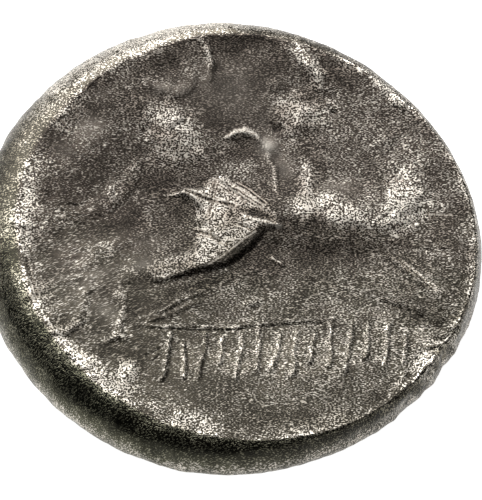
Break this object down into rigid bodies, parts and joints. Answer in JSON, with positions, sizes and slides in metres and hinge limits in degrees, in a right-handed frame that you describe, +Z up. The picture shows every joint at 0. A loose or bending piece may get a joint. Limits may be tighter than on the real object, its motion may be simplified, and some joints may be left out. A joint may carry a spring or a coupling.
{
  "type": "hexadrachm",
  "caption": "Thick, worn ancient silver coin with a galloping horse and rider in low relief above a row of plain strokes. Lies flat on its domed, worn underside.",
  "frame": {"origin": "under the middle of the coin, on the surface it lies on", "axes": "+Z up, out of the face with the horseman; +Y towards the top of the picture; +X to the picture's right"},
  "size_m": [0.0256, 0.026, 0.0037],
  "materials": {
    "toned_silver": "old silver, toned dark grey-brown in the field and worn to bright grey on the high points and the rim"
  },
  "bodies": {
    "root": {"coin": "toned_silver"}
  },
  "joints": []
}
